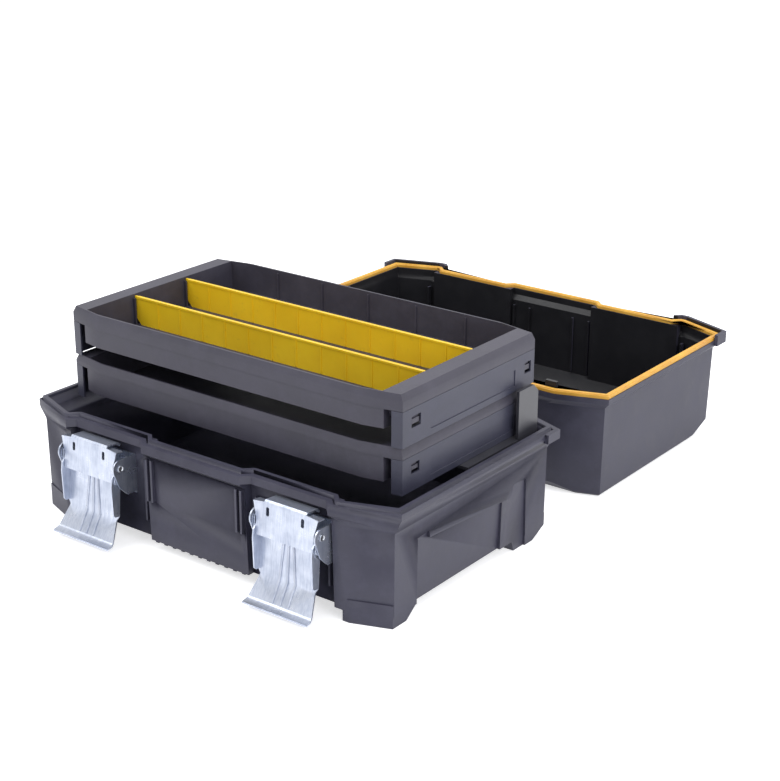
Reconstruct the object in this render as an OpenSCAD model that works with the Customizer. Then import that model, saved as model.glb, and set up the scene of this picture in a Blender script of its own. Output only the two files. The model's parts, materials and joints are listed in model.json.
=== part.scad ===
// Cantilever tool box: a black moulded bin with two stacked trays on swinging arms,
// a lid that opens half a turn to lie behind the bin, and two steel draw latches.
// Drawn as it stands open: trays nested, lid upside down behind, latches hanging.
// Millimetres, +Z up, front towards -Y. The bin's front rim line is y = 0 and its rim
// plane z = 0 in every module; place() then moves all of it onto the shared origin.

/* [Bin] */
// half the width between the rim lines
half_w = 225; // [200:1:260]
// depth between the front and back rim lines
bin_d = 282; // [240:1:320]
// width of each corner cut, along the front
cut_x = 53; // [20:1:70]
// depth of each corner cut, along the side
cut_y = 19.5; // [8:0.5:30]
// gap between the open lid and the ground
ground_gap = 0.5; // [0.2:0.1:2]
// height from the lower edge of the walls to the rim plane
skirt_h = 105; // [80:0.5:140]
// wall thickness of the bin and the lid
wall = 2.8; // [2:0.1:4]
// how far the rim flange stands out past the rim line
flange_out = 5.2; // [3:0.1:8]
// depth of the step of the rim at each latch
bay_in = 8; // [4:0.5:10]
// length of the step of the rim at each latch
bay_l = 107; // [95:1:115]
// distance from the step to the corner cut
bay_edge = 6; // [5:0.5:12]

/* [Lid] */
// height of the lid above the rim plane when shut
lid_h = 115; // [100:0.5:130]
// distance of the hinge axis behind the back rim line
hinge_back = 32.3; // [25:0.1:45]
// depth of the stacking grooves on the lid
groove_d = 1.2; // [0.6:0.1:1.6]
// height of the seal bead
seal_h = 4.4; // [3:0.1:5]
// radius of the hinge pins
hinge_r = 2.5; // [2:0.1:4]
// distance of each hinge from the side rim line
hinge_in = 97; // [80:1:130]
// width of a guide tab
tab_w = 13; // [8:1:20]

/* [Trays] */
// distance from the bin's rim line to the tray end caps
tray_in = 22; // [20:0.5:30]
// front face of the trays
tray_y0 = 42; // [35:0.5:50]
// back face of the trays
tray_y1 = 266.5; // [255:0.5:268]
// width of the trays' corner cuts
tray_cx = 40; // [25:1:45]
// depth of the trays' corner cuts
tray_cy = 8; // [6:0.5:14]
// top of the upper tray
tray_top = 91; // [80:0.5:95]
// height from one tray to the next
tray_step = 50; // [45:0.5:55]
// depth of a tray, top to underside
tray_d = 34; // [25:0.5:40]
// width of the arm pocket at each end of a tray, with its wall
pocket_w = 21; // [19:0.5:26]
// tray wall thickness
tray_t = 2.5; // [1.5:0.1:3.5]
// height of the upper tray's rim above the seam of its end cap
band_h = 15.5; // [10:0.5:16]
// height of the lower tray's rim above the seam of its end cap
band_low = 10.5; // [8:0.5:16]

/* [Arms] */
// distance between the two pins of an arm
arm_l = 83; // [70:1:84]
// radius of an arm's ends
arm_r = 7; // [6:0.1:7.2]
// thickness of an arm
arm_t = 2.8; // [2:0.1:3.5]
// thickness of the posts that carry the arms
post_t = 2.8; // [2:0.1:3.5]
// front tray pin, from the bin's front rim line
arm_y = 60.5; // [60:0.5:64]
// height of the upper arms below the top of the upper tray
arm_dz = 21.7; // [18:0.1:24]
// height of the lower arms below the top of the lower tray
arm_dz_low = 14.3; // [13:0.1:24]
// radius of the arm pins
pin_r = 2.5; // [2:0.1:3]
// radial clearance of a pin in an arm
pin_gap = 0.08; // [0.03:0.01:0.1]

/* [Latches] */
// distance of each latch from the outer end of its step
latch_in = 43; // [40:0.5:50]
// half the width over the bracket ears
ear_w = 38; // [34:0.5:40]
// steel sheet thickness
steel = 1.4; // [1:0.1:2]
// distance between the two pivots of a latch link
link_l = 12; // [9:0.5:14]
// lean of the lever when it hangs open
lean = 5; // [2:0.5:12]
// length of the lever below its pivot
lever_l = 66; // [60:1:80]

/* [Handle] */
// distance of the handle's pivots from the front rim line
handle_y = 150; // [140:1:160]
// half the length of the carry handle
handle_w = 84; // [70:1:95]
// reach of the handle from its pivots to the grip's centre
handle_l = 40; // [34:1:46]

/* [Hidden] */
$fn = 48;
e = 0.01;
gap = 0.3;
hinge_y = bin_d + hinge_back;
bore_r = pin_r + pin_gap;
tk = 2;                 // thickness of the caps
foot_h = lid_h + ground_gap;      // height from the feet to the rim plane
seal_z = gap + seal_h;  // where the lid's body starts, above its seal
bay_x1 = half_w - cut_x - bay_edge;
bay_x0 = bay_x1 - bay_l;
latch_x = bay_x1 - latch_in;
hinge_x = half_w - hinge_in;
tray_w = half_w - tray_in;        // half the width over the tray end caps
open_w = tray_w - pocket_w;       // half the width of a tray's opening
wall_x = open_w + tray_t;         // outer face of a tray's end wall
post_x = wall_x + 1;              // inner face of the arm posts
arm_x = post_x + post_t + gap;    // inner face of the arms
cap_x0 = arm_x + arm_t + 0.9;     // where an end cap starts
cap_x = tray_w - tk - 0.2;
tab_x = bay_x1 - 9;                // inner end of a guide tab
plate_x = half_w - 15.8; // inner face of the plates at the bin's sides
plate_y = bin_d - 29;   // their back end
screw_r = 1.55;
screw_z = -30;
screw_ys = [150, 236];
arm_gy = arm_y + arm_l; // front post pin
arm_sp = arm_l + 2 * arm_r + 1;
divider_ys = [tray_y0 + 73, tray_y1 - 77.5];
arm_low = tray_top - tray_step;            // top of the lower tray
low_z = arm_low - arm_dz_low;              // height of the lower arms' pins
up_z = tray_top - arm_dz;                  // and of the upper arms' pins
ridge_w = 4;            // width of the bin's raised rim line
recess_w = handle_w + 14;         // half the length of the handle's recess
recess_d = 19.5;
handle_z = lid_h - 9.5; // height of the handle's pivots
bay_w = 11;             // how far the bay wall stands behind the rim line
p1y = -10;              // latch pin on the bracket
p1z = -32.5;
rest_a = 10;            // link's lean outwards when it hangs
shut_a = 188;           // link's angle when the latch is shut
p2y = p1y - link_l * sin(rest_a);
p2z = p1z - link_l * cos(rest_a);
link_x = ear_w - steel - gap;       // outer face of a link plate
lever_x = link_x - steel - gap;     // and of the lever's side flange
lip_z = -lever_l - 1.9;
lip_y = p2y - 14.2 * cos(lean) + lip_z * sin(lean);
// the part's box runs from the latch lips to the far rim of the open lid
y_mid = (2 * hinge_y + flange_out + lip_y) / 2;

module place() translate([0, -y_mid, foot_h]) children();
// carries a shut lid to its open place behind the bin
module opened() translate([0, hinge_y, 0]) rotate([180, 0, 0]) translate([0, -hinge_y, 0]) children();
module both() { children(); mirror([1, 0, 0]) children(); }
module xcyl(r, x0, x1, y, z, n = 48) translate([x0, y, z]) rotate([0, 90, 0]) cylinder(r = r, h = x1 - x0, $fn = n);
module box(x0, x1, y0, y1, z0, z1) translate([x0, y0, z0]) cube([x1 - x0, y1 - y0, z1 - z0]);
// a shape drawn in (y, z) and given a thickness along x
module yz(x0, x1) translate([x0, 0, 0]) rotate([90, 0, 90]) linear_extrude(x1 - x0) children();
module xz(y0, y1) translate([0, y1, 0]) rotate([90, 0, 0]) linear_extrude(y1 - y0) children();

// right half of an eight-sided outline, pushed out by o
function slope(cx, cy) = sqrt(cx * cx + cy * cy);
function rpts(w, y0, y1, cx, cy, o) = let (s = slope(cx, cy)) [
  [w - cx + o * (s - cx) / cy, y0 - o], [w + o, y0 + cy - o * (s - cy) / cx],
  [w + o, y1 - cy + o * (s - cy) / cx], [w - cx + o * (s - cx) / cy, y1 + o]];
function mir(p) = [for (i = [len(p) - 1:-1:0]) [-p[i][0], p[i][1]]];
function oct(w, y0, y1, cx, cy, o = 0) = let (p = rpts(w, y0, y1, cx, cy, o)) concat(p, mir(p));
// the rim line with its two steps, pushed out by o
function ring(o) = let (p = rpts(half_w, 0, bin_d, cut_x, cut_y, o), t = 0.414 * o,
  f = [[bay_x0 + t, -o], [bay_x0 + bay_in + t, bay_in - o], [bay_x1 - bay_in - t, bay_in - o],
  [bay_x1 - t, -o]]) concat(f, p, mir(p), mir(f));
module ringband(o1, o0, z0, z1) translate([0, 0, z0]) linear_extrude(z1 - z0) difference() {
  polygon(ring(o1));
  polygon(ring(o0));
}

// a solid whose eight sides each follow a profile of [offset, height] points
module side_prism(prof) rotate([90, 0, 0]) translate([0, 0, -700]) linear_extrude(1400)
  polygon(concat([[-600, prof[0][1]]], prof, [[-600, prof[len(prof) - 1][1]]]));
module profiled(w, y0, y1, cx, cy, side, front, back, bevel) {
  a = atan2(cx, cy);
  // the bevels of the corners turn a little above those of the sides
  n = len(bevel) - 1;
  corner = [for (i = [0:n]) [bevel[i][0], bevel[i][1] + (i == 0 || i == n ? 0 : 0.35)]];
  intersection() {
    translate([w, 0, 0]) side_prism(side);
    mirror([1, 0, 0]) translate([w, 0, 0]) side_prism(side);
    translate([0, y0, 0]) rotate([0, 0, -90]) side_prism(front);
    translate([0, y1, 0]) rotate([0, 0, 90]) side_prism(back);
    translate([w, y0 + cy, 0]) rotate([0, 0, -a]) side_prism(corner);
    mirror([1, 0, 0]) translate([w, y0 + cy, 0]) rotate([0, 0, -a]) side_prism(corner);
    translate([w, y1 - cy, 0]) rotate([0, 0, a]) side_prism(corner);
    mirror([1, 0, 0]) translate([w, y1 - cy, 0]) rotate([0, 0, a]) side_prism(corner);
  }
}

// ---- bin ----
module bay_cut(o, z0, z1) both() translate([0, 0, z0]) linear_extrude(z1 - z0)
  polygon([[bay_x0 + 0.414 * o, -60], [bay_x0 + 0.414 * o, -o], [bay_x0 + bay_in + 0.414 * o, bay_in - o],
    [bay_x1 - bay_in - 0.414 * o, bay_in - o], [bay_x1 - 0.414 * o, -o], [bay_x1 - 0.414 * o, -60]]);

// flange that stands out past the rim line, kept to one end of the bin or the lid
module rim_lip(z0, z1, y0, y1) intersection() {
  translate([0, 0, z0]) linear_extrude(z1 - z0) difference() {
    polygon(oct(half_w, 0, bin_d, cut_x, cut_y, flange_out));
    polygon(oct(half_w, 0, bin_d, cut_x, cut_y, -2));
  }
  both() box(bay_x1 - bay_in - 4, half_w + 20, y0, y1, z0 - 1, z1 + 1);
}
module bin_outer() {
  f = flange_out;
  side = [[-7.5, -skirt_h], [-6.8, -24], [1, -9], [1, -3]];
  front = [[-4, -skirt_h], [-1, -17], [f, -12], [f, -4], [f - 1, -3]];
  bevel = [[-2.6, -skirt_h], [-2, -22], [1.2, -12], [1.2, -3]];
  profiled(half_w, 0, bin_d, cut_x, cut_y, side, front, front, bevel);
}

module bin_cavity() {
  side = [[-13 - wall, -skirt_h + wall + 1.2], [-9 - wall, -24], [-6, -14], [-6, 1]];
  front = [[-4 - wall, -skirt_h + wall + 1.2], [-1 - wall - 2, -17], [-6, -14], [-6, 1]];
  bevel = [[-3 - wall, -skirt_h + wall + 1.2], [-2.4 - wall, -22], [-6, -14], [-6, 1]];
  difference() {
    profiled(half_w, 0, bin_d, cut_x, cut_y, side, front, front, bevel);
    both() box(bay_x0 - 2, bay_x1 + 2, -20, bay_w + wall, -200, 10);
  }
}

// a foot, drawn in (y, z) as the stretch of the corner column below the walls
module foot(points) intersection() {
  yz(half_w - 53, half_w) polygon(points);
  translate([0, 0, -foot_h - 1]) linear_extrude(40)
    polygon(oct(half_w - 7.8, 4.2, bin_d - 4.2, cut_x - 15, cut_y - 5.6));
}
front_foot = [[2, -skirt_h + 12], [2, -foot_h], [38, -foot_h], [52, -skirt_h], [53, -skirt_h + 12]];
rear_foot = [[205, -skirt_h + 12], [213, -foot_h], [243, -foot_h], [266, -skirt_h], [279, -skirt_h + 12]];
// recesses of the side walls between the corner columns: [points, depth at the rim, slant]
side_recess = [[[[53, -16], [70, -15], [71.5, -22], [189, -30], [189, -95], [53, -95]], 9, 4],
  [[[188, -30], [201, -31], [206, -19], [227, -19.5], [230, -95], [188, -95]], 8.2, 1.5]];

module base_bin() color([0.16, 0.155, 0.18]) place() {
  difference() {
    union() {
      bin_outer();
      // raised rim line that meets the seal
      ringband(-1.8, -1.8 - ridge_w, -14, 0);
      both() foot(front_foot);
      both() foot(rear_foot);
      rim_lip(-12, -3, bin_d - cut_y - 17, bin_d + 20);
    }
    bay_cut(flange_out, -24, 1);
    both() box(bay_x0 + 3, bay_x1 - 3, -60, bay_w, -skirt_h - 30, -11);
    bin_cavity();
    // channel between the raised rim line and the outer lip
    ringband(-0.2, -1.8, -6, 1);
    both() for (r = side_recess)
      translate([half_w - r[1], 0, -24]) rotate([0, atan2(r[2], skirt_h - 24), 0]) yz(0, 20) polygon(r[0]);
    both() for (x = [hinge_x - 16, hinge_x + 10]) xcyl(hinge_r + 0.03, x - 1, x + 7, hinge_y, 0);
    // bracket screw holes
    both() for (y = screw_ys) xcyl(screw_r + 0.05, plate_x, plate_x + 4.8, y, screw_z);
    // latch rivet holes
    both() for (s = [-1, 1]) translate([latch_x + 16 * s, bay_w - 6, -50]) rotate([-90, 0, 0]) cylinder(r = 2.05, h = 14);
  }
  // ribs beside the latch bays
  both() for (x = [bay_x0 - 7, bay_x0 - 1]) box(x, x + 2.4, -1.6, 4, -62, -19);
  // low teeth along the front edge
  for (i = [0:10]) box(-57 + i * 11, -53 + i * 11, 4.4, 7.4, -skirt_h - 1.4, -skirt_h + 2);
  // ribs on the outside of the bay walls
  both() for (x = [bay_x0 + 10, bay_x1 - 12]) box(x, x + 2, bay_w - 4, bay_w + 1, -88, x < 100 ? -25 : -66);
  // screw bosses for the brackets
  both() for (y = screw_ys) difference() {
    xcyl(5, plate_x + 3.05, half_w - 11, y, screw_z);
    xcyl(screw_r + 0.05, plate_x, plate_x + 4.8, y, screw_z);
  }
  // hinge ears
  both() for (x = [hinge_x - 16, hinge_x + 10]) difference() {
    yz(x, x + 6) union() {
      polygon([[bin_d - 3, -3.2], [bin_d - 3, -26], [hinge_y + 3, -6.5], [hinge_y - 3, 6.5], [bin_d + 7, -3.2]]);
      translate([hinge_y, 0]) circle(r = 7, $fn = 48);
    }
    xcyl(hinge_r + 0.03, x - 1, x + 7, hinge_y, 0);
  }
}

// ---- steel brackets that carry the lower tray's arms ----
module bracket() {
  y0 = arm_gy - 6.5;
  y1 = arm_gy + arm_sp + 6.5;
  difference() {
    union() {
      for (y = [arm_gy, arm_gy + arm_sp]) yz(post_x, post_x + post_t) union() {
        translate([y, low_z]) circle(r = arm_r - 0.5, $fn = 48);
        translate([y - arm_r + 0.5, -12]) square([2 * arm_r - 1, low_z + 12]);
      }
      yz(post_x, post_x + post_t) translate([arm_gy - arm_r + 0.5, -12]) square([arm_sp + 2 * arm_r - 1, 8.7]);
      box(post_x, plate_x + 3, y0, y1, -6.3, -3.3);
      box(plate_x, plate_x + 3, y0, plate_y, -37, -3.3);
      // plate that stands at the bin's back corner
      yz(plate_x, plate_x + 3) polygon([[plate_y - 33, -8], [plate_y - 33, 45], [plate_y - 8, 45],
        [plate_y, 37], [plate_y, -8]]);
    }
    for (y = [arm_gy, arm_gy + arm_sp]) xcyl(pin_r + 0.03, post_x - 1, post_x + 4, y, low_z);
    for (y = screw_ys) xcyl(screw_r + 0.5, plate_x - 1, plate_x + 4, y, screw_z);
  }
}
module bracket_r() color([0.2, 0.2, 0.22]) place() bracket();
module bracket_l() color([0.2, 0.2, 0.22]) place() mirror([1, 0, 0]) bracket();
module bracket_screws() color([0.6, 0.6, 0.62]) place() both() for (y = screw_ys) difference() {
  union() {
    xcyl(screw_r, plate_x - 1, plate_x + 4.4, y, screw_z);
    xcyl(4, plate_x - 2, plate_x - 0.02, y, screw_z);
  }
  translate([plate_x - 2, y, screw_z]) cube([1.6, 1, 5.6], center = true);
  translate([plate_x - 2, y, screw_z]) cube([1.6, 5.6, 1], center = true);
}

// ---- arms and their pins ----
module arm_shape() difference() {
  union() {
    circle(r = arm_r, $fn = 64);
    translate([arm_l, 0]) circle(r = arm_r, $fn = 64);
    translate([0, -arm_r + 1.2]) square([arm_l, 2 * arm_r - 2.4]);
  }
  circle(r = bore_r, $fn = 48);
  translate([arm_l, 0]) circle(r = bore_r, $fn = 48);
}
// arm from its tray pin back to its post pin
module arm(z, y) yz(arm_x, arm_x + arm_t) translate([y, z]) arm_shape();
module arm_pin(y, z, x0) {
  xcyl(pin_r, x0, arm_x + arm_t + 0.6, y, z);
  xcyl(4, arm_x + arm_t + 0.3, arm_x + arm_t + 1.5, y, z);
}
module arm_lower_fr() color([0.2, 0.2, 0.22]) place() arm(low_z, arm_y);
module arm_lower_fl() color([0.2, 0.2, 0.22]) place() mirror([1, 0, 0]) arm(low_z, arm_y);
module arm_lower_rr() color([0.2, 0.2, 0.22]) place() arm(low_z, arm_y + arm_sp);
module arm_lower_rl() color([0.2, 0.2, 0.22]) place() mirror([1, 0, 0]) arm(low_z, arm_y + arm_sp);
module arm_upper_fr() color([0.2, 0.2, 0.22]) place() arm(up_z, arm_y);
module arm_upper_fl() color([0.2, 0.2, 0.22]) place() mirror([1, 0, 0]) arm(up_z, arm_y);
module arm_upper_rr() color([0.2, 0.2, 0.22]) place() arm(up_z, arm_y + arm_sp);
module arm_upper_rl() color([0.2, 0.2, 0.22]) place() mirror([1, 0, 0]) arm(up_z, arm_y + arm_sp);
module arm_pins_base() color([0.7, 0.7, 0.72]) place() both()
  for (i = [0, 1]) arm_pin(arm_gy + i * arm_sp, low_z, post_x + 0.1);
module arm_pins_lower() color([0.7, 0.7, 0.72]) place() both() for (i = [0, 1]) {
  arm_pin(arm_y + i * arm_sp, low_z, wall_x - 1);
  arm_pin(arm_gy + i * arm_sp, up_z, post_x + 0.1);
}
module arm_pins_upper() color([0.7, 0.7, 0.72]) place() both()
  for (i = [0, 1]) arm_pin(arm_y + i * arm_sp, up_z, wall_x - 1);

// ---- trays ----
module tray_plan(o = 0) polygon(oct(tray_w, tray_y0, tray_y1, tray_cx, tray_cy, o));
// snap openings of an end cap: [y from, y to, depth from, depth to below the tray's top]
up_win = [[63, 76.5, 23.5, 34.2], [242, 252.5, 25.5, 36.5]];
low_win = [[63, 75, 17.8, 27.6], [242, 252.5, 21, 31]];
module tray(top, band, zp, win) {
  wy0 = tray_y0 + 0.8;
  wy1 = tray_y1 - 0.8;
  bot = top - tray_d;
  difference() {
    union() {
      // rim with a bevelled outer edge
      profiled(tray_w, tray_y0, tray_y1, tray_cx, tray_cy,
        [[0, top - band], [0, top - 6.5], [-3, top]], [[0, top - band], [0, top - 6.5], [-1.2, top]],
        [[0, top - band], [0, top - 6.5], [-1.2, top]], [[0, top - band], [0, top - 6.5], [-2, top]]);
      // trough
      translate([0, 0, bot]) linear_extrude(tray_d - 4) intersection() {
        tray_plan(-0.8);
        square([2 * wall_x, 900], center = true);
      }
    }
    // opening
    translate([0, 0, bot + tray_t]) linear_extrude(tray_d) intersection() {
      tray_plan(-0.8 - tray_t);
      square([2 * open_w, 900], center = true);
    }
    // arm pockets, open below
    both() intersection() {
      box(wall_x, cap_x + 0.1, tray_y0 - 1, tray_y1 + 1, bot - 10, top - 3);
      translate([0, 0, bot - 10]) linear_extrude(tray_d + 20) tray_plan(-tk - 0.1);
    }
    both() for (i = [0, 1]) xcyl(pin_r + 0.03, wall_x - 1.2, wall_x + 1, arm_y + i * arm_sp, zp);
  }
  // bosses behind the tray pins
  both() for (i = [0, 1]) difference() {
    xcyl(5, wall_x - 0.5, arm_x - gap, arm_y + i * arm_sp, zp);
    xcyl(pin_r + 0.03, wall_x - 1.2, arm_x + 1, arm_y + i * arm_sp, zp);
  }
  // small ribs inside the long walls
  for (x = [-120:60:120]) {
    box(x - 1, x + 1, wy0 + tray_t - 0.2, wy0 + tray_t + 1.2, bot + tray_t - 0.2, top - 3);
    box(x - 1, x + 1, wy1 - tray_t - 1.2, wy1 - tray_t + 0.2, bot + tray_t - 0.2, top - 3);
  }
  // tongues that hold the end caps
  both() for (w = win) {
    y1 = min(w[1] - 1.5, tray_y1 - tray_cy - 2.2);
    box(tray_w - 4.7, cap_x - 0.1, w[0] + 1.5, y1, top - w[3] + 2, top - 2.9);
    box(tray_w - 4.7, cap_x + 1.2, w[0] + 1.5, y1, top - w[3] + 3, top - w[2] - 3);
  }
}
module lower_tray() color([0.17, 0.165, 0.19]) place() {
  z = up_z;
  tray(arm_low, band_low, low_z, low_win);
  // posts that carry the upper tray's arms
  both() for (i = [0, 1]) difference() {
    yz(post_x, post_x + post_t) union() {
      translate([arm_gy + i * arm_sp, z]) circle(r = arm_r - 0.5, $fn = 48);
      translate([arm_gy + i * arm_sp - 6.5, arm_low - 1]) square([13, z - arm_low + 1]);
    }
    xcyl(pin_r + 0.03, post_x - 1, post_x + 4, arm_gy + i * arm_sp, z);
  }
}
module upper_tray() color([0.17, 0.165, 0.19]) place() {
  tray(tray_top, band_h, up_z, up_win);
  // grooves' ribs that hold the dividers
  both() for (y = divider_ys, s = [-1, 1]) box(open_w - 3, open_w + 0.2, y + s * 2.6 - 0.9, y + s * 2.6 + 0.9,
    tray_top - tray_d + tray_t - 0.2, tray_top - 4);
}
module cap(top, z0, band, win) {
  z1 = top - band - gap;
  difference() {
    intersection() {
      translate([0, 0, z0]) linear_extrude(z1 - z0) difference() {
        tray_plan(0);
        tray_plan(-tk);
      }
      box(cap_x0, half_w + 50, 0, 300, z0 - 1, z1 + 1);
    }
    // openings the tongues snap into
    for (w = win)
      box(cap_x - 2, tray_w + 1, w[0], w[1], top - w[3], top - w[2]);
    // shallow panel
    box(tray_w - 0.8, tray_w + 1, 92, 226, z0 + 6, z1 - 12);
  }
  // rim along the upper edge that bears on the tray
  intersection() {
    translate([0, 0, z1 - 2]) linear_extrude(2 + gap) difference() {
      tray_plan(-tk + 0.2);
      tray_plan(-tk - 1.2);
    }
    box(tray_w - 4, half_w + 50, 90, 232, -100, 200);
  }
}
module lower_cap_r() color([0.19, 0.185, 0.21]) place() cap(arm_low, arm_low - 44, band_low, low_win);
module lower_cap_l() color([0.19, 0.185, 0.21]) place() mirror([1, 0, 0]) cap(arm_low, arm_low - 44, band_low, low_win);
module upper_cap_r() color([0.19, 0.185, 0.21]) place() cap(tray_top, arm_low + gap, band_h, up_win);
module upper_cap_l() color([0.19, 0.185, 0.21]) place() mirror([1, 0, 0]) cap(tray_top, arm_low + gap, band_h, up_win);

module divider(y) {
  z0 = tray_top - tray_d + tray_t;
  z1 = tray_top - 2;
  difference() {
    xz(y - 1, y + 1) polygon([[-open_w + 0.5, z0 + 8], [-open_w + 8, z0], [open_w - 8, z0],
      [open_w - 0.5, z0 + 8], [open_w - 0.5, z1], [-open_w + 0.5, z1]]);
  }
  for (x = [-150:30:150]) box(x - 0.8, x + 0.8, y - 1.6, y + 1.6, z0 + 1, z1 - 3);
  box(-open_w + 4, open_w - 4, y - 1.8, y + 1.8, z1 - 2, z1);
}
module divider_front() color([0.86, 0.66, 0.08]) place() divider(divider_ys[0]);
module divider_rear() color([0.86, 0.66, 0.08]) place() divider(divider_ys[1]);

// ---- lid, drawn shut and carried to its open place ----
module lid_body() {
  side = [[0.6, seal_z], [0.6, 10], [-6, 17], [-8, lid_h - 2.5], [-10, lid_h]];
  front = [[0.6, seal_z], [0.6, 10], [-3, 16], [-8, lid_h - 19], [-60, lid_h]];
  back = [[0.6, seal_z], [0.6, 10], [-3, 16], [-8, lid_h - 9], [-18, lid_h]];
  profiled(half_w, 0, bin_d, cut_x, cut_y, side, front, back, side);
}
module lid_cavity() {
  w = wall;
  side = [[-7, -5], [-7, 12], [-6 - w, 17], [-8 - w, lid_h - 2.5 - w], [-10 - w, lid_h - w]];
  front = [[-7, -5], [-7, 12], [-7.6 - w, 18], [-8 - w, lid_h - 19 - w], [-60 - w, lid_h - w]];
  back = [[-7, -5], [-7, 12], [-7.6 - w, 18], [-8 - w, lid_h - 9 - w], [-18 - w, lid_h - w]];
  difference() {
    profiled(half_w, 0, bin_d, cut_x, cut_y, side, front, back, side);
    both() box(bay_x0 - 3, bay_x1 + 3, -20, bay_w + w + 1, seal_z, lid_h - 18);
    // floor of the handle's recess
    box(-recess_w - w, recess_w + w, handle_y - 58, handle_y + 20, lid_h - recess_d - w, lid_h + 1);
  }
}
module lid_shell() color([0.15, 0.145, 0.17]) place() opened() {
  difference() {
    union() {
      lid_body();
      rim_lip(gap - 3, 10, -20, cut_y + 17);
    }
    bay_cut(flange_out, -10, 14);
    both() box(bay_x0 + 4, bay_x1 - 4, -60, bay_w + 0.5, 14, lid_h - 24);
    // ledge the claws hook over
    both() box(bay_x0 + 4, bay_x1 - 4, -60, bay_w + 0.5, 7.4, 15);
    lid_cavity();
    // room for the rim line and the seal
    ringband(1.2, -8, -5, seal_z);
    box(-recess_w, recess_w, handle_y - 55, handle_y + 17, lid_h - recess_d, lid_h + 20);
    // stacking grooves
    both() box(handle_w + 54, handle_w + 68, 75, 225, lid_h - groove_d, lid_h + 1);
    both() box(handle_w + 28, handle_w + 34, 75, 225, lid_h - groove_d, lid_h + 1);
  }
  // posts that carry the handle
  both() difference() {
    box(handle_w + 1.5, recess_w + 0.2, handle_y - 8, handle_y + 8, lid_h - recess_d - 0.2, lid_h - 0.8);
    xcyl(4.08, handle_w, recess_w - 2, handle_y, handle_z);
  }
  // ribs inside the front wall
  both() for (x = [30, 52, half_w - 49]) box(x - 1.2, x + 1.2, x < 60 ? 10 : 12.5, x < 60 ? 13 : 18, 24, lid_h - 24);
  // hinge knuckles
  both() difference() {
    yz(hinge_x - 9.7, hinge_x + 9.7) union() {
      polygon([[bin_d - 2, 10], [bin_d - 2, 27], [hinge_y + 3, 6.2], [hinge_y - 6, -2], [bin_d + 6, 3]]);
      translate([hinge_y, 0]) circle(r = 7, $fn = 48);
    }
    xcyl(hinge_r + 0.08, hinge_x - 11, hinge_x + 11, hinge_y, 0);
  }
}
module lid_seal() color([0.85, 0.62, 0.22]) place() opened() {
  ringband(-0.2, -6, gap + 1, seal_z);
  ringband(-1, -5.2, gap, gap + 1.1);
}
module lid_tabs() color([0.1, 0.1, 0.11]) place() opened() both() {
  box(tab_x, tab_x + tab_w, bin_d - 12, bin_d - 8, -5, 12);
  box(tab_x, tab_x + tab_w, bin_d - 12, bin_d - 7, 5, 11.9);
}
module hinge_pins() color([0.7, 0.7, 0.72]) place() both() {
  xcyl(hinge_r, hinge_x - 17.5, hinge_x + 17.5, hinge_y, 0);
  xcyl(4.2, hinge_x - 18.5, hinge_x - 16.2, hinge_y, 0);
  xcyl(4.2, hinge_x + 16.2, hinge_x + 18.5, hinge_y, 0);
}

module carry_handle() color([0.13, 0.125, 0.15]) place() opened() translate([0, handle_y, handle_z]) {
  difference() {
    union() {
      // grip, eight-sided and rounded at its edges
      yz(-handle_w + 10, handle_w - 10) translate([-handle_l, 1.5]) offset(r = 3) square([12, 7], center = true);
      for (s = [-1, 1]) yz(s > 0 ? handle_w - 12 : -handle_w, s > 0 ? handle_w : -handle_w + 12) union() {
        circle(r = 7.5, $fn = 48);
        polygon([[0, -5.5], [0, 6.5], [-handle_l, 8], [-handle_l - 7, 5], [-handle_l - 8, -3], [-handle_l, -5.5]]);
      }
    }
    box(-handle_w - 1, -handle_w + 1.5, -60, -20, -10, 12);
    box(handle_w - 1.5, handle_w + 1, -60, -20, -10, 12);
  }
  both() xcyl(4, handle_w - 1, recess_w - 4.5, 0, 0);
}

// ---- draw latches ----
module latch_bracket() {
  difference() {
    union() {
      // back plate against the bay wall
      box(-ear_w, ear_w, bay_w - steel - 0.05, bay_w - 0.05, -64, -24);
      // ears
      for (s = [-1, 1]) yz(s > 0 ? ear_w - steel : -ear_w, s > 0 ? ear_w : -ear_w + steel) union() {
        translate([p1y, p1z]) circle(r = 9, $fn = 48);
        polygon([[p1y, p1z + 9], [bay_w - 0.1, -24], [bay_w - 0.1, -62], [-2, -62], [-12, -52], [p1y - 8.3, p1z - 3.5]]);
      }
    }
    xcyl(pin_r - 0.47, -50, 50, p1y, p1z);
    for (s = [-1, 1]) translate([16 * s, 0, -50]) rotate([-90, 0, 0]) cylinder(r = 2.1, h = 30);
  }
}
module lx(s) translate([s * latch_x, 0, 0]) children();
module latch_bracket_r() color([0.75, 0.77, 0.8]) place() lx(1) latch_bracket();
module latch_bracket_l() color([0.75, 0.77, 0.8]) place() lx(-1) latch_bracket();
module latch_rivets() color([0.7, 0.7, 0.72]) place() for (l = [-1, 1], s = [-1, 1])
  translate([l * latch_x + 16 * s, 0, -50]) rotate([-90, 0, 0]) {
    translate([0, 0, bay_w - steel - 1.3]) cylinder(r = 3.6, h = 1.2);
    translate([0, 0, bay_w - steel - 0.2]) cylinder(r = 2, h = steel + wall + 0.4);
    translate([0, 0, bay_w + wall + 0.05]) cylinder(r = 3.4, h = 1);
  }
module latch_pins_base() color([0.7, 0.7, 0.72]) place() for (l = [-1, 1], s = [-1, 1]) lx(l) mirror([s > 0 ? 0 : 1, 0, 0]) {
  xcyl(2, link_x - steel, ear_w + 0.6, p1y, p1z);
  xcyl(3.4, ear_w + 0.05, ear_w + 1.1, p1y, p1z);
}
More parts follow.
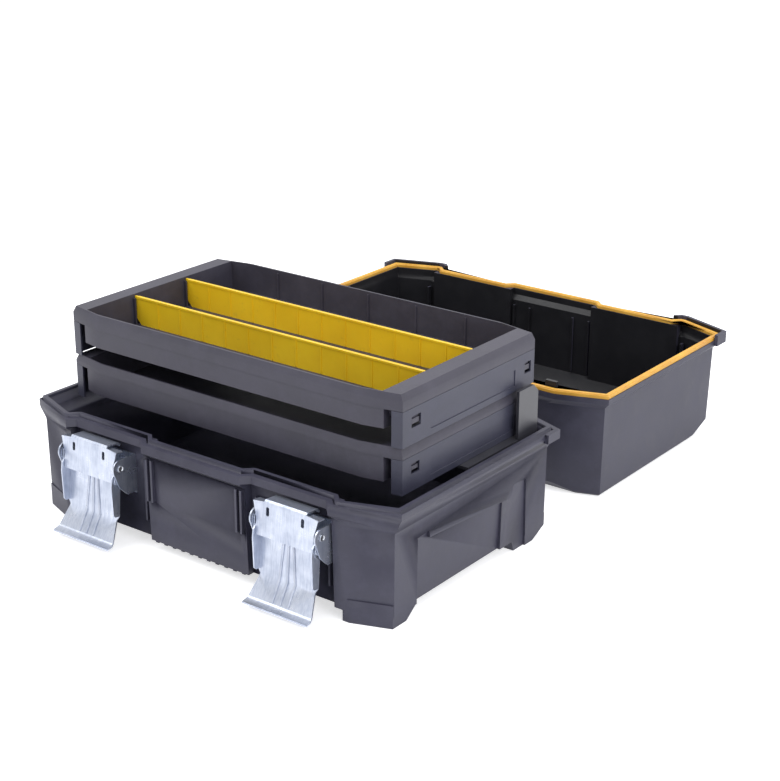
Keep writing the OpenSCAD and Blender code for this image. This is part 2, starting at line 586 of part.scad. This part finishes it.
// link, drawn in place as it hangs
module latch_link() for (m = [0, 1]) mirror([m, 0, 0]) difference() {
  yz(link_x - steel, link_x) union() {
    translate([p1y, p1z]) circle(r = 4.6, $fn = 48);
    translate([p2y, p2z]) circle(r = 4.6, $fn = 48);
    translate([p1y, p1z]) rotate(-rest_a) translate([-4.2, -link_l]) square([8.4, link_l]);
  }
  xcyl(2.08, 20, 50, p1y, p1z);
  xcyl(2.08, 20, 50, p2y, p2z);
}
module latch_link_r() color([0.75, 0.77, 0.8]) place() lx(1) latch_link();
module latch_link_l() color([0.75, 0.77, 0.8]) place() lx(-1) latch_link();

// lever and claw are drawn upright about their pivot, and then leaned out
module leaned(l) place() translate([l * latch_x, p2y, p2z]) rotate([-lean, 0, 0]) children();
module latch_lever() {
  fx = lever_x;
  l = lever_l;
  difference() {
    union() {
      // face
      xz(3.2, 3.2 + steel) polygon([[-fx, 11], [fx, 11], [fx, -38], [fx - 3, -42.6], [-fx + 3, -42.6], [-fx, -38]]);
      // side flanges
      for (s = [-1, 1]) yz(s > 0 ? fx - steel : -fx, s > 0 ? fx : -fx + steel)
        polygon([[4.6, 11], [-2, 8], [-6.5, 2], [-7, -6], [-3.5, -36], [-1, -38], [4.6, -38]]);
      // finger plate with a curled lip
      xz_finger(fx);
      // pressed lines
      for (x = [-9, 0, 9]) xz(2.3, 3.3) polygon([[x * 0.55 - 0.9, 2], [x * 0.55 + 0.9, 2], [x + 1.1, -42], [x - 1.1, -42]]);
      for (x = [-9, 0, 9]) yz(x - 1.1, x + 1.1) polygon([[2.4, -42], [-6.9, -61.2], [-6.2, -62], [3.4, -42]]);
    }
    xcyl(2.03, -50, 50, 0, 0);
  }
}
module xz_finger(fx) intersection() {
  yz(-fx - 3, fx + 3) polygon([[3.2, -42], [-6.5, -62], [-8.5, -64.2], [-14.2, -lever_l - 0.4], [-14.2, -lever_l - 1.9],
    [-8.1, -66], [-5.3, -63.2], [4.6, -42.6], [4.6, -41.5], [3.2, -41.5]]);
  xz(-30, 30) polygon([[-fx + 3, -41], [fx - 3, -41], [fx - 2, -46], [fx + 3, -lever_l], [fx + 3, -80], [-fx - 3, -80],
    [-fx - 3, -lever_l], [-fx + 2, -46]]);
}
module latch_claw() {
  cx = lever_x - steel - 0.1;
  difference() {
    union() {
      // web that widens to a wing at each side of the hook
      xz(-4, -4 + steel) polygon([[-cx, -3], [cx, -3], [cx, 14], [ear_w - 3, 20], [ear_w - 1, 28.5], [24, 30], [-24, 30],
        [-ear_w + 1, 28.5], [-ear_w + 3, 20], [-cx, 14]]);
      // hooked top
      yz(-24, 24) polygon([[-4, 28], [-4, 30.6], [-2.4, 32.2], [12, 32.2], [14.5, 30.4], [14.5, 28.4], [13.1, 28.4],
        [13.1, 29.6], [11.5, 30.8], [-1.8, 30.8], [-2.6, 29.8], [-2.6, 28]]);
      for (s = [-1, 1]) yz(s > 0 ? 24 - e : -ear_w + 1, s > 0 ? ear_w - 1 : -24 + e)
        polygon([[-4, 27.1], [-4, 28.5], [5, 28.5], [5, 27.1]]);
      // side plates at the pivot
      for (s = [-1, 1]) yz(s > 0 ? cx - steel : -cx, s > 0 ? cx : -cx + steel)
        polygon([[-4, -3], [2.6, -3], [2.9, 3], [0, 10], [-4, 14]]);
    }
    xcyl(2.03, -50, 50, 0, 0);
  }
}
module latch_lever_r() color([0.78, 0.8, 0.84]) leaned(1) latch_lever();
module latch_lever_l() color([0.78, 0.8, 0.84]) leaned(-1) latch_lever();
module latch_claw_r() color([0.72, 0.74, 0.78]) leaned(1) latch_claw();
module latch_claw_l() color([0.72, 0.74, 0.78]) leaned(-1) latch_claw();
module lever_pins() for (m = [0, 1]) mirror([m, 0, 0]) {
  xcyl(2, lever_x - 2 * steel - 1.2, link_x + 0.05, 0, 0);
  xcyl(2.4, lever_x - 2 * steel - 1.3, lever_x - 2 * steel - 0.15, 0, 0);
}
module latch_pins_lever_r() color([0.7, 0.7, 0.72]) leaned(1) lever_pins();
module latch_pins_lever_l() color([0.7, 0.7, 0.72]) leaned(-1) lever_pins();

base_bin();
bracket_r();
bracket_l();
bracket_screws();
arm_pins_base();
lower_tray();
lower_cap_r();
lower_cap_l();
arm_pins_lower();
upper_tray();
upper_cap_r();
upper_cap_l();
arm_pins_upper();
divider_front();
divider_rear();
arm_lower_fr();
arm_lower_fl();
arm_lower_rr();
arm_lower_rl();
arm_upper_fr();
arm_upper_fl();
arm_upper_rr();
arm_upper_rl();
lid_shell();
lid_seal();
lid_tabs();
hinge_pins();
carry_handle();
latch_bracket_r();
latch_bracket_l();
latch_rivets();
latch_pins_base();
latch_link_r();
latch_link_l();
latch_lever_r();
latch_lever_l();
latch_claw_r();
latch_claw_l();
latch_pins_lever_r();
latch_pins_lever_l();
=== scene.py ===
import json
import math
import bpy
from mathutils import Matrix, Vector


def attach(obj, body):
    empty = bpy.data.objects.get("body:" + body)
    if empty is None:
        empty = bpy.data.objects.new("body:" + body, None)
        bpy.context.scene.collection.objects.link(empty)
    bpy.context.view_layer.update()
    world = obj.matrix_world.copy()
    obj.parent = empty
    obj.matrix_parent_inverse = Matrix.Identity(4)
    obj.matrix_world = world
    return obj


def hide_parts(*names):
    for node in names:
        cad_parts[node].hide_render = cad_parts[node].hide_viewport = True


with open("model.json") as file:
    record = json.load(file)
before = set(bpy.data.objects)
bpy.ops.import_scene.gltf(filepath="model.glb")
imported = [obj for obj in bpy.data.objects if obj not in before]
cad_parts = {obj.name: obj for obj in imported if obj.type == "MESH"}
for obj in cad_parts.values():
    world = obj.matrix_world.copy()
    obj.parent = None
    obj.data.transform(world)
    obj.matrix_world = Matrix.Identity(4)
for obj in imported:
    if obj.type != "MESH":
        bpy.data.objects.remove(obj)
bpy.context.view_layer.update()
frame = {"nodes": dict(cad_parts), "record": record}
nodes = frame["nodes"]
nodeBody = {n: b for b, members in frame["record"]["behaviour"]["bodies"].items() for n in members}
nodeSlot = {s["node"]: s["material_slot"] for s in frame["record"]["subparts"]}
print("frame loaded:", len(nodes), "nodes")

# the bin's front rim line and rim plane, in metres; every place below is counted from them
rim = {"y": -0.300826, "z": 0.1155}


# the camera stands where the photograph was taken; angles in degrees, lengths in metres
camera = {
    "azimuth": 37.08, "elevation": 20.87, "roll": 0.19, "distance": 1.7312,
    "target": (0.04286, -0.0572, 0.1155), "lens": 79.3, "sensor": 36, "far": 60,
}


def addCamera():
    az, el = math.radians(camera["azimuth"]), math.radians(camera["elevation"])
    back = Vector((math.sin(az) * math.cos(el), -math.cos(az) * math.cos(el), math.sin(el)))
    data = bpy.data.cameras.new("camera")
    data.lens = camera["lens"]
    data.sensor_width = camera["sensor"]
    data.sensor_fit = "HORIZONTAL"
    data.clip_end = camera["far"]
    shot = bpy.data.objects.new("camera", data)
    bpy.context.scene.collection.objects.link(shot)
    turn = back.to_track_quat("Z", "Y").to_matrix().to_4x4()
    shot.matrix_world = (Matrix.Translation(Vector(camera["target"]) + back * camera["distance"]) @ turn
                         @ Matrix.Rotation(math.radians(camera["roll"]), 4, "Z"))
    bpy.context.scene.camera = shot


# soft studio lamps: place, aimed at, size, watts
lamps = {
    "key": ((-0.9, -1.5, 1.9), (0, 0, 0.1), 1.6, 24),
    "fill": ((2.0, -0.7, 1.2), (0, 0, 0.1), 1.5, 22),
    "top": ((0.1, 0.3, 2.3), (0, 0, 0.1), 1.8, 30),
    "rim": ((0.9, 2.2, 1.2), (0, 0.1, 0.1), 1.4, 10),
}


def addLamps():
    for name, (place, aim, size, watts) in lamps.items():
        data = bpy.data.lights.new(name, "AREA")
        data.size = size
        data.energy = watts
        lamp = bpy.data.objects.new(name, data)
        bpy.context.scene.collection.objects.link(lamp)
        lamp.location = place
        lamp.rotation_euler = (Vector(place) - Vector(aim)).to_track_quat("Z", "Y").to_euler()


def seenDirectly(tree):
    # 1 for camera, mirror and see-through rays, so that the backdrop shows white in metal too
    path = tree.nodes.new("ShaderNodeLightPath")
    seen = path.outputs["Is Camera Ray"]
    for kind in ("Is Glossy Ray", "Is Transmission Ray"):
        either = tree.nodes.new("ShaderNodeMath")
        either.operation = "MAXIMUM"
        tree.links.new(seen, either.inputs[0])
        tree.links.new(path.outputs[kind], either.inputs[1])
        seen = either.outputs[0]
    return seen


# the world's own light; its backdrop is plain white
studio = {"colour": (0.93, 0.95, 1, 1), "strength": 0.5, "backdrop": (1, 1, 1, 1)}


def addWorld():
    world = bpy.data.worlds.new("studio")
    bpy.context.scene.world = world
    world.use_nodes = True
    tree = world.node_tree
    light = tree.nodes["Background"]
    light.inputs["Color"].default_value = studio["colour"]
    light.inputs["Strength"].default_value = studio["strength"]
    backdrop = tree.nodes.new("ShaderNodeBackground")
    backdrop.inputs["Color"].default_value = studio["backdrop"]
    backdrop.inputs["Strength"].default_value = 1
    blend = tree.nodes.new("ShaderNodeMixShader")
    tree.links.new(seenDirectly(tree), blend.inputs[0])
    tree.links.new(light.outputs[0], blend.inputs[1])
    tree.links.new(backdrop.outputs[0], blend.inputs[2])
    tree.links.new(blend.outputs[0], tree.nodes["World Output"].inputs["Surface"])


# the floor lies a hair under the feet and glows a little for the camera, so that it meets the white
floorLook = {
    "size": 40, "height": -0.0004, "colour": (0.86, 0.86, 0.87, 1), "rough": 0.9, "specular": 0.1,
    "glow": 0.62, "glowColour": (1, 1, 1, 1),
}


def addFloor():
    bpy.ops.object.select_all(action="DESELECT")
    bpy.ops.mesh.primitive_plane_add(size=floorLook["size"], location=(0, 0, floorLook["height"]))
    floor = bpy.context.object
    floor.name = "floor"
    material = bpy.data.materials.new("paleFloor")
    material.use_nodes = True
    tree = material.node_tree
    shader = tree.nodes["Principled BSDF"]
    shader.inputs["Base Color"].default_value = floorLook["colour"]
    shader.inputs["Roughness"].default_value = floorLook["rough"]
    shader.inputs["Specular IOR Level"].default_value = floorLook["specular"]
    glow = tree.nodes.new("ShaderNodeMath")
    glow.operation = "MULTIPLY"
    glow.inputs[1].default_value = floorLook["glow"]
    tree.links.new(seenDirectly(tree), glow.inputs[0])
    shader.inputs["Emission Color"].default_value = floorLook["glowColour"]
    tree.links.new(glow.outputs[0], shader.inputs["Emission Strength"])
    floor.data.materials.append(material)


addCamera()
addLamps()
addWorld()
addFloor()
bpy.context.scene.view_settings.view_transform = "Standard"
print("camera, lamps and floor placed")


# node helpers for the materials, which all read Object coordinates
def newMaterial(name):
    material = bpy.data.materials.new(name)
    material.use_nodes = True
    return material, material.node_tree, material.node_tree.nodes["Principled BSDF"]


def addNode(tree, kind, **values):
    node = tree.nodes.new(kind)
    for key, value in values.items():
        if key in node.inputs:
            node.inputs[key].default_value = value
        else:
            setattr(node, key, value)
    return node


def objectPoint(tree, scale=(1, 1, 1)):
    place = addNode(tree, "ShaderNodeTexCoord")
    mapping = addNode(tree, "ShaderNodeMapping")
    mapping.inputs["Scale"].default_value = scale
    tree.links.new(place.outputs["Object"], mapping.inputs["Vector"])
    return mapping.outputs["Vector"]


def noise(tree, point, scale, detail=3, rough=0.55):
    cloud = addNode(tree, "ShaderNodeTexNoise", Scale=scale, Detail=detail, Roughness=rough)
    tree.links.new(point, cloud.inputs["Vector"])
    return cloud.outputs["Fac"]


def opaque(colour):
    return colour if len(colour) == 4 else (*colour, 1)


def ramp(tree, fac, stops):
    band = tree.nodes.new("ShaderNodeValToRGB")
    for element, (at, colour) in zip(band.color_ramp.elements, stops):
        element.position = at
        element.color = opaque(colour)
    tree.links.new(fac, band.inputs["Fac"])
    return band.outputs["Color"]


def grey(v):
    return (v, v, v, 1)


def mix(tree, fac, a, b):
    # sockets 0, 6, 7 and output 2 are the colour ones of a Mix node
    blend = addNode(tree, "ShaderNodeMix", data_type="RGBA")
    if isinstance(fac, float):
        blend.inputs[0].default_value = fac
    else:
        tree.links.new(fac, blend.inputs[0])
    for socket, value in ((blend.inputs[6], a), (blend.inputs[7], b)):
        if isinstance(value, tuple):
            socket.default_value = opaque(value)
        else:
            tree.links.new(value, socket)
    return blend.outputs[2]


def bump(tree, height, strength, distance, under=None):
    relief = addNode(tree, "ShaderNodeBump", Strength=strength, Distance=distance)
    tree.links.new(height, relief.inputs["Height"])
    if under is not None:
        tree.links.new(under, relief.inputs["Normal"])
    return relief.outputs["Normal"]


def mouldedPlastic(name, dark, light, rough, grain=0.3, scuff=0.5):
    # injection-moulded polypropylene: fine spark grain, slow blotches of sheen and a little dust
    material, tree, shader = newMaterial(name)
    point = objectPoint(tree)
    cloud = noise(tree, point, 9, 4, 0.6)
    dust = noise(tree, point, 42, 6, 0.7)
    base = ramp(tree, cloud, [(0.3, dark), (0.72, light)])
    speck = ramp(tree, dust, [(0.46, grey(0)), (0.8, grey(scuff))])
    colour = mix(tree, speck, base, tuple(min(1, c * 1.35 + 0.012) for c in light[:3]))
    tree.links.new(colour, shader.inputs["Base Color"])
    sheen = ramp(tree, dust, [(0.3, grey(rough - 0.05)), (0.75, grey(rough + 0.09))])
    tree.links.new(sheen, shader.inputs["Roughness"])
    fine = addNode(tree, "ShaderNodeTexVoronoi", Scale=1500)
    tree.links.new(point, fine.inputs["Vector"])
    normal = bump(tree, fine.outputs["Distance"], grain, 0.00018)
    normal = bump(tree, noise(tree, point, 30, 2), 0.05, 0.004, normal)
    tree.links.new(normal, shader.inputs["Normal"])
    shader.inputs["Specular IOR Level"].default_value = 0.42
    return material


def zincSheet(name, light, deep, rough):
    # bright zinc plating: bluish bloom, faint rolling streaks, shallow dents from the press
    material, tree, shader = newMaterial(name)
    point = objectPoint(tree)
    streak = noise(tree, objectPoint(tree, (900, 260, 60)), 1, 3, 0.6)
    bloom = noise(tree, point, 55, 4, 0.6)
    colour = ramp(tree, bloom, [(0.32, deep), (0.66, light)])
    colour = mix(tree, 0.22, colour, ramp(tree, streak, [(0.3, deep), (0.7, (0.95, 0.96, 0.98))]))
    tree.links.new(colour, shader.inputs["Base Color"])
    tree.links.new(ramp(tree, bloom, [(0.3, grey(rough + 0.1)), (0.7, grey(rough - 0.05))]),
                   shader.inputs["Roughness"])
    normal = bump(tree, streak, 0.1, 0.0003)
    normal = bump(tree, noise(tree, point, 34, 2), 0.3, 0.0012, normal)
    tree.links.new(normal, shader.inputs["Normal"])
    shader.inputs["Metallic"].default_value = 0.86
    return material


def rubberBead(name, dark, light):
    # soft amber rubber, with a faint skin and a little light inside it
    material, tree, shader = newMaterial(name)
    point = objectPoint(tree)
    tone = noise(tree, point, 34, 4, 0.6)
    tree.links.new(ramp(tree, tone, [(0.3, dark), (0.7, light)]), shader.inputs["Base Color"])
    tree.links.new(ramp(tree, tone, [(0.3, grey(0.42)), (0.7, grey(0.6))]), shader.inputs["Roughness"])
    tree.links.new(bump(tree, noise(tree, point, 900, 2), 0.15, 0.0002), shader.inputs["Normal"])
    shader.inputs["Subsurface Weight"].default_value = 0.12
    shader.inputs["Subsurface Radius"].default_value = (0.004, 0.002, 0.001)
    return material


def dividerPlastic(name, dark, light):
    # bright yellow plastic with brown rub marks
    material, tree, shader = newMaterial(name)
    point = objectPoint(tree)
    tone = noise(tree, point, 16, 4, 0.6)
    mark = noise(tree, point, 130, 5, 0.65)
    base = ramp(tree, tone, [(0.3, dark), (0.7, light)])
    base = mix(tree, ramp(tree, mark, [(0.6, grey(0)), (0.85, grey(0.35))]), base, (0.32, 0.21, 0.03))
    tree.links.new(base, shader.inputs["Base Color"])
    tree.links.new(ramp(tree, mark, [(0.3, grey(0.32)), (0.8, grey(0.5))]), shader.inputs["Roughness"])
    tree.links.new(bump(tree, noise(tree, point, 800, 2), 0.12, 0.0002), shader.inputs["Normal"])
    shader.inputs["Subsurface Weight"].default_value = 0.08
    shader.inputs["Subsurface Radius"].default_value = (0.006, 0.003, 0.001)
    return material


def coatedSteel(name, dark, light):
    # black electrophoretic coat on sheet steel
    material, tree, shader = newMaterial(name)
    point = objectPoint(tree)
    tone = noise(tree, point, 48, 5, 0.6)
    tree.links.new(ramp(tree, tone, [(0.35, dark), (0.75, light)]), shader.inputs["Base Color"])
    tree.links.new(ramp(tree, tone, [(0.3, grey(0.3)), (0.75, grey(0.44))]), shader.inputs["Roughness"])
    tree.links.new(bump(tree, noise(tree, point, 1100, 3), 0.2, 0.0002), shader.inputs["Normal"])
    shader.inputs["Coat Weight"].default_value = 0.2
    shader.inputs["Coat Roughness"].default_value = 0.3
    return material


# colours are linear; the first is the darker patch of a plastic, and the brighter one of a metal
binDark, binLight = (0.033, 0.032, 0.052), (0.047, 0.046, 0.072)
# painted shade: near-black plastic for the lid's inner faces, standing for the shade in its hollow
lidPaintedShade = mouldedPlastic("lidPaintedShade", (0.007, 0.007, 0.009), (0.011, 0.011, 0.014), 0.4, 0.3, 0.15)
finishes = {
    "black_plastic": mouldedPlastic("binPlastic", binDark, binLight, 0.47),
    "lid_plastic": mouldedPlastic("lidPlastic", binDark, binLight, 0.5),
    "tray_plastic": mouldedPlastic("trayPlastic", (0.035, 0.033, 0.048), (0.052, 0.049, 0.07), 0.44),
    "cap_plastic": mouldedPlastic("capPlastic", (0.031, 0.032, 0.052), (0.044, 0.045, 0.072), 0.42),
    "divider_plastic": dividerPlastic("dividerYellow", (0.8, 0.5, 0.008), (0.9, 0.6, 0.014)),
    "seal_rubber": rubberBead("sealBead", (0.62, 0.3, 0.03), (0.8, 0.45, 0.07)),
    "black_steel": coatedSteel("coatedSteel", (0.03, 0.03, 0.038), (0.05, 0.05, 0.06)),
    "pin_steel": zincSheet("pinSteel", (0.5, 0.53, 0.58), (0.34, 0.36, 0.41), 0.3),
    "zinc_sheet": zincSheet("zincSheet", (0.48, 0.52, 0.62), (0.31, 0.35, 0.45), 0.3),
    "tab_plastic": mouldedPlastic("tabPlastic", (0.018, 0.018, 0.021), (0.028, 0.028, 0.032), 0.4),
}
print("materials made")


# mesh helpers
def selectOnly(*pieces):
    bpy.ops.object.select_all(action="DESELECT")
    for piece in pieces:
        piece.select_set(True)
    bpy.context.view_layer.objects.active = pieces[0]


def editFaces(piece, wanted):
    # leaves the piece in edit mode with the wanted faces selected
    selectOnly(piece)
    bpy.ops.object.mode_set(mode="EDIT")
    bpy.ops.mesh.select_mode(type="FACE")
    bpy.ops.mesh.select_all(action="DESELECT")
    bpy.ops.object.mode_set(mode="OBJECT")
    for face in piece.data.polygons:
        face.select = wanted(face)
    bpy.ops.object.mode_set(mode="EDIT")


def applyModifier(piece, kind, **values):
    modifier = piece.modifiers.new(kind.lower(), kind)
    for key, value in values.items():
        setattr(modifier, key, value)
    selectOnly(piece)
    bpy.ops.object.modifier_apply(modifier=modifier.name)


def finishPiece(piece, name, slot, body, smooth=35):
    # edges sharper than the smooth angle stay hard
    piece.name = name
    piece.data.name = name
    selectOnly(piece)
    bpy.ops.object.transform_apply(location=True, rotation=True, scale=True)
    bpy.ops.object.shade_smooth_by_angle(angle=math.radians(smooth))
    piece.data.materials.clear()
    piece.data.materials.append(finishes[slot])
    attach(piece, body)


# moulded edges: each hard node gets a copy with small rounded edges, which stands for it
softEdges = {
    # node: radius in mm, segments
    "base_bin": (0.9, 2), "lid_shell": (0.9, 2), "lower_tray": (0.7, 2), "upper_tray": (0.7, 2),
    "lower_cap_r": (0.5, 2), "lower_cap_l": (0.5, 2), "upper_cap_r": (0.5, 2), "upper_cap_l": (0.5, 2),
    "bracket_r": (0.4, 2), "bracket_l": (0.4, 2), "carry_handle": (1.4, 3), "lid_tabs": (0.5, 2),
    "divider_front": (0.35, 2), "divider_rear": (0.35, 2), "lid_seal": (1.6, 4),
    "latch_bracket_r": (0.4, 2), "latch_bracket_l": (0.4, 2),
    "latch_lever_r": (0.4, 2), "latch_lever_l": (0.4, 2), "latch_claw_r": (0.4, 2), "latch_claw_l": (0.4, 2),
    "latch_link_r": (0.3, 2), "latch_link_l": (0.3, 2),
    "latch_rivets": (0.8, 3), "bracket_screws": (0.7, 3), "hinge_pins": (0.6, 2),
    "latch_pins_base": (0.35, 3), "latch_pins_lever_r": (0.35, 3), "latch_pins_lever_l": (0.35, 3),
    "arm_lower_fr": (0.4, 2), "arm_lower_fl": (0.4, 2), "arm_lower_rr": (0.4, 2), "arm_lower_rl": (0.4, 2),
    "arm_upper_fr": (0.4, 2), "arm_upper_fl": (0.4, 2), "arm_upper_rr": (0.4, 2), "arm_upper_rl": (0.4, 2),
}


# what a copy is cleaned and rounded by: metres and degrees
softening = {"merge": 0.00001, "flat": 1.5, "edge": 28, "smooth": 40, "weight": 60}


def softCopy(node, radius, segments):
    source = nodes[node]
    piece = source.copy()
    piece.data = source.data.copy()
    for key in list(piece.keys()):
        del piece[key]
    piece.parent = None
    piece.matrix_world = Matrix.Identity(4)
    bpy.context.scene.collection.objects.link(piece)
    selectOnly(piece)
    bpy.ops.object.mode_set(mode="EDIT")
    bpy.ops.mesh.select_all(action="SELECT")
    bpy.ops.mesh.remove_doubles(threshold=softening["merge"])
    bpy.ops.mesh.dissolve_limited(angle_limit=math.radians(softening["flat"]))
    bpy.ops.object.mode_set(mode="OBJECT")
    applyModifier(piece, "BEVEL", width=radius / 1000, segments=segments, limit_method="ANGLE",
                  angle_limit=math.radians(softening["edge"]), use_clamp_overlap=True, harden_normals=False)
    finishPiece(piece, node + "_soft", nodeSlot[node], nodeBody[node], softening["smooth"])
    applyModifier(piece, "WEIGHTED_NORMAL", keep_sharp=True, weight=softening["weight"])
    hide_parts(node)
    return piece


soft = {node: softCopy(node, radius, segments) for node, (radius, segments) in softEdges.items()}
print("moulded edges rounded")

# the lid's inner faces get a smoother, far darker plastic; the darkness is painted shade inside the lid's
# hollow. Where they lie, in metres, and how far a face must look inwards or up to be one
lid = {
    "half": 0.224, "front": 0.3275, "back": 0.0465, "middle": 0.187, "floor": 0.03, "overRim": 0.001,
    "inwards": 0.004, "upwards": 0.4,
}


def paintShadeInside(piece, material):
    piece.data.materials.append(material)
    for face in piece.data.polygons:
        place, facing = face.center, face.normal
        within = (abs(place.x) < lid["half"] and lid["back"] < place.y < lid["front"]
                  and place.z < rim["z"] + lid["overRim"])
        inwards = -place.x * facing.x + (lid["middle"] - place.y) * facing.y > lid["inwards"]
        upwards = facing.z > lid["upwards"] and place.z < lid["floor"]
        if within and (inwards or upwards):
            face.material_index = 1


paintShadeInside(soft["lid_shell"], lidPaintedShade)
print("lid's inside darkened")

# the latches: places are in mm, counted from the lever's pivot, which leans out with the lever
latch = {"x": 123, "pivot": (-12.084, -44.318), "lean": 5}
hands = {"r": 1, "l": -1}


def latchPoint(side, x, y, z):
    lean = math.radians(latch["lean"])
    return Vector((
        side * latch["x"] + x,
        rim["y"] * 1000 + latch["pivot"][0] + y * math.cos(lean) + z * math.sin(lean),
        rim["z"] * 1000 + latch["pivot"][1] - y * math.sin(lean) + z * math.cos(lean),
    )) / 1000


# the pressed ridges of the lever, closer together at their tops
ridges = {
    "across": (-9, 0, 9), "topSpread": 0.55, "radius": 1.35, "sides": 16,
    "top": (3.2, 1), "bend": (3.2, -41.8), "tip": (-6.3, -61.6),
    "roundEnds": 0.6, "roundSegments": 3, "roundFrom": 60,
}


def ridge(side, x):
    # a rod down the lever's face, carried on down the finger plate
    top = latchPoint(side, x * ridges["topSpread"], *ridges["top"])
    bend = latchPoint(side, x, *ridges["bend"])
    tip = latchPoint(side, x, *ridges["tip"])
    run = bend - top
    bpy.ops.object.select_all(action="DESELECT")
    bpy.ops.mesh.primitive_cylinder_add(
        vertices=ridges["sides"], radius=ridges["radius"] / 1000, depth=run.length,
        location=(top + bend) / 2, rotation=run.to_track_quat("Z", "Y").to_euler())
    piece = bpy.context.object
    editFaces(piece, lambda face: face.normal.z > 0.9)
    bpy.ops.mesh.extrude_region_move(TRANSFORM_OT_translate={"value": tip - bend})
    bpy.ops.object.mode_set(mode="OBJECT")
    applyModifier(piece, "BEVEL", width=ridges["roundEnds"] / 1000, segments=ridges["roundSegments"],
                  limit_method="ANGLE", angle_limit=math.radians(ridges["roundFrom"]))
    return piece


# the bracket's pins are hollow rivets: a bore is sunk in each outer end, and its bottom gets the black
# coated finish as painted shade
rivet = {"leastRadius": 2.4, "rim": 0.8, "depth": 0.9, "taper": 0.05}


def outerEnd(face):
    outwards = (abs(face.center.x) - latch["x"] / 1000) * math.copysign(1, face.center.x) * face.normal.x
    least = math.pi * (rivet["leastRadius"] / 1000) ** 2
    return abs(face.normal.x) > 0.99 and outwards > 0 and face.area > least


def hollowEnds(piece):
    editFaces(piece, outerEnd)
    bpy.ops.mesh.inset(thickness=rivet["rim"] / 1000, depth=0, use_individual=True)
    bpy.ops.mesh.inset(thickness=rivet["taper"] / 1000, depth=-rivet["depth"] / 1000, use_individual=True)
    bpy.ops.object.mode_set(mode="OBJECT")
    # painted shade: the bore's bottom faces take the black coated finish
    piece.data.materials.append(finishes["black_steel"])
    for face in piece.data.polygons:
        if face.select:
            face.material_index = 1


# an upright slot near each end of the claw's face
clawSlot = {
    "across": (-20, 20), "place": (-3.3, 21.5), "size": (3.6, 6, 8.5), "corner": 1.5, "cornerSegments": 3,
}


def cutSlot(piece, side, x):
    bpy.ops.object.select_all(action="DESELECT")
    bpy.ops.mesh.primitive_cube_add(
        size=1, location=latchPoint(side, x, *clawSlot["place"]),
        rotation=(-math.radians(latch["lean"]), 0, 0),
        scale=tuple(length / 1000 for length in clawSlot["size"]))
    cutter = bpy.context.object
    bpy.ops.object.transform_apply(location=True, rotation=True, scale=True)
    applyModifier(cutter, "BEVEL", width=clawSlot["corner"] / 1000, segments=clawSlot["cornerSegments"])
    applyModifier(piece, "BOOLEAN", operation="DIFFERENCE", object=cutter, solver="EXACT")
    bpy.data.objects.remove(cutter)


hollowEnds(soft["latch_pins_base"])
for hand, side in hands.items():
    for x in clawSlot["across"]:
        cutSlot(soft["latch_claw_" + hand], side, x)
    rods = [ridge(side, x) for x in ridges["across"]]
    selectOnly(*rods)
    bpy.ops.object.join()
    finishPiece(rods[0], "latch_ridges_" + hand, "zinc_sheet", f"latch_{hand}_lever")
print("latches detailed")

for name, node in nodes.items():
    node.data.materials.clear()
    node.data.materials.append(finishes[nodeSlot[name]])
print("CAD nodes finished")
